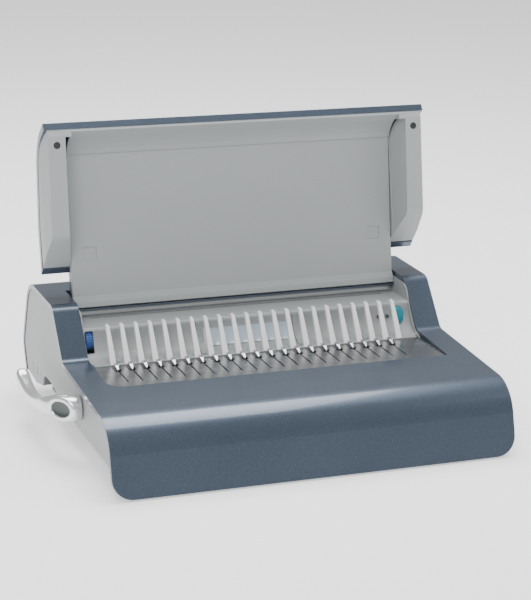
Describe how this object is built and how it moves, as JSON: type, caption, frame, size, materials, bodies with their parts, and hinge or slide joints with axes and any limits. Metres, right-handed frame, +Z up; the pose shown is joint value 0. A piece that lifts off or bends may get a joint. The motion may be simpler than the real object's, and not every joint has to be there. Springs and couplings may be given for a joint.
{
  "type": "comb binding machine",
  "caption": "Desktop comb binding machine with an open lid, a finger comb behind a slotted steel plate, a side lever that opens the comb, an electric punch and a chip drawer.",
  "frame": {"origin": "on the table, under the centre of the machine's bounding box", "axes": "+X to the user's right along the machine's width, +Y to the rear, +Z up"},
  "size_m": [0.4302, 0.3437, 0.296],
  "materials": {
    "cover_blue": "metallic blue-grey lacquer, glossy",
    "case_grey": "fine-grained light grey",
    "liner_grey": "fine-grained mid grey",
    "finger_white": "satin",
    "base_black": "textured",
    "foot_rubber": "matt",
    "plate_steel": "brushed from side to side",
    "hook_steel": "ground",
    "zinc_steel": "zinc plated",
    "gear_steel": "oiled",
    "gear_nylon": "natural nylon",
    "bush_bronze": "oiled bronze",
    "lever_silver": "satin silver lacquer",
    "cap_dark": "satin",
    "strip_blue": "printed film",
    "wheel_blue": "satin",
    "guide_grey": "satin",
    "button_teal": "satin",
    "lamp_red": "clear",
    "lamp_green": "clear",
    "board_green": "glass fibre board",
    "motor_metal": "black enamel",
    "core_iron": "varnished laminations"
  },
  "bodies": {
    "machine": {"base_pan": "base_black", "base_screws": "zinc_steel", "carriage_guides": "gear_nylon", "comb_fingers": "finger_white", "comb_housing": "case_grey", "comb_plate": "plate_steel", "control_board": "board_green", "die_plate": "zinc_steel", "finger_rail": "finger_white", "guide_plate": "zinc_steel", "hinge_pins": "hook_steel", "idler_pin": "zinc_steel", "lamp_green": "lamp_green", "lamp_red": "lamp_red", "left_chassis_plate": "zinc_steel", "left_cheek": "case_grey", "mains_inlet": "base_black", "motor": "motor_metal", "paper_stop": "zinc_steel", "rear_cover": "cover_blue", "rear_panel": "base_black", "right_chassis_plate": "zinc_steel", "right_cheek": "case_grey", "rubber_feet": "foot_rubber", "shaft_bushes": "bush_bronze", "size_strip": "strip_blue", "switch_board": "board_green", "switch_frame": "base_black", "tie_rods": "zinc_steel", "top_cover": "cover_blue", "transformer": "core_iron", "wall_ribs": "case_grey"},
    "lid": {"lid_shell": "cover_blue", "lid_liner": "liner_grey", "lid_bumpers": "foot_rubber"},
    "lever": {"lever_handle": "lever_silver", "lever_cap": "cap_dark", "lever_shaft": "zinc_steel", "lever_pinions": "gear_nylon"},
    "hooks": {"hook_bar": "hook_steel", "hook_blades": "hook_steel", "hook_racks": "hook_steel"},
    "wheel": {"guide_wheel": "wheel_blue", "guide_screw": "base_black"},
    "guide": {"edge_guide": "guide_grey"},
    "button": {"punch_button": "button_teal"},
    "cam": {"cam_shaft": "zinc_steel", "cam_discs": "zinc_steel", "bull_gear": "gear_steel"},
    "idler": {"idler_gear": "gear_nylon"},
    "rotor": {"motor_shaft": "zinc_steel", "motor_pinion": "gear_steel"},
    "punch": {"punch_bar": "zinc_steel", "punch_pins": "hook_steel"},
    "drawer": {"chip_drawer": "case_grey"},
    "rocker": {"power_rocker": "base_black"}
  },
  "joints": [
    {"name": "lid_hinge", "type": "hinge", "parent": "machine", "child": "lid", "pos_m": [0.0161, 0.0742, 0.1125], "axis": [1, 0, 0], "range_deg": [0, 101.6]},
    {"name": "lever_turn", "type": "hinge", "parent": "machine", "child": "lever", "pos_m": [0.0161, -0.0578, 0.053], "axis": [1, 0, 0], "range_deg": [0, 110]},
    {"name": "hook_slide", "type": "slide", "parent": "machine", "child": "hooks", "axis": [0, -1, 0], "range_m": [0, 0.0192]},
    {"name": "wheel_turn", "type": "hinge", "parent": "machine", "child": "wheel", "pos_m": [-0.1506, 0.0368, 0.0879], "axis": [1, 0, 0], "range_deg": [-180.1, 180.1]},
    {"name": "guide_slide", "type": "slide", "parent": "machine", "child": "guide", "axis": [1, 0, 0], "range_m": [-0.006, 0.006]},
    {"name": "button_press", "type": "slide", "parent": "machine", "child": "button", "axis": [0, 1, 0], "range_m": [0, 0.0025], "stiffness_N_per_m": 400, "springref_m": -0.001},
    {"name": "cam_turn", "type": "hinge", "parent": "machine", "child": "cam", "pos_m": [0.0161, 0.1252, 0.076], "axis": [1, 0, 0], "range_deg": [0, 180.1]},
    {"name": "punch_slide", "type": "slide", "parent": "machine", "child": "punch", "axis": [0, -1, 0], "range_m": [0, 0.009]},
    {"name": "idler_turn", "type": "hinge", "parent": "machine", "child": "idler", "pos_m": [0.1771, 0.1057, 0.0422], "axis": [1, 0, 0], "range_deg": [-288.2, 0]},
    {"name": "motor_turn", "type": "hinge", "parent": "machine", "child": "rotor", "pos_m": [0.1771, 0.0847, 0.0422], "axis": [1, 0, 0], "range_deg": [0, 720.3]},
    {"name": "drawer_slide", "type": "slide", "parent": "machine", "child": "drawer", "axis": [1, 0, 0], "range_m": [0, 0.15]},
    {"name": "switch_rock", "type": "hinge", "parent": "machine", "child": "rocker", "pos_m": [-0.0944, 0.1552, 0.045], "axis": [1, 0, 0], "range_deg": [0, 8]}
  ],
  "couplings": [
    {"joint": "hook_slide", "follows": "lever_turn", "m_per_rad": 0.01},
    {"joint": "wheel_turn", "follows": "guide_slide", "rad_per_m": 523.6},
    {"joint": "cam_turn", "follows": "punch_slide", "rad_per_m": 349.07},
    {"joint": "idler_turn", "follows": "punch_slide", "rad_per_m": -558.5},
    {"joint": "motor_turn", "follows": "punch_slide", "rad_per_m": 1396.3}
  ]
}
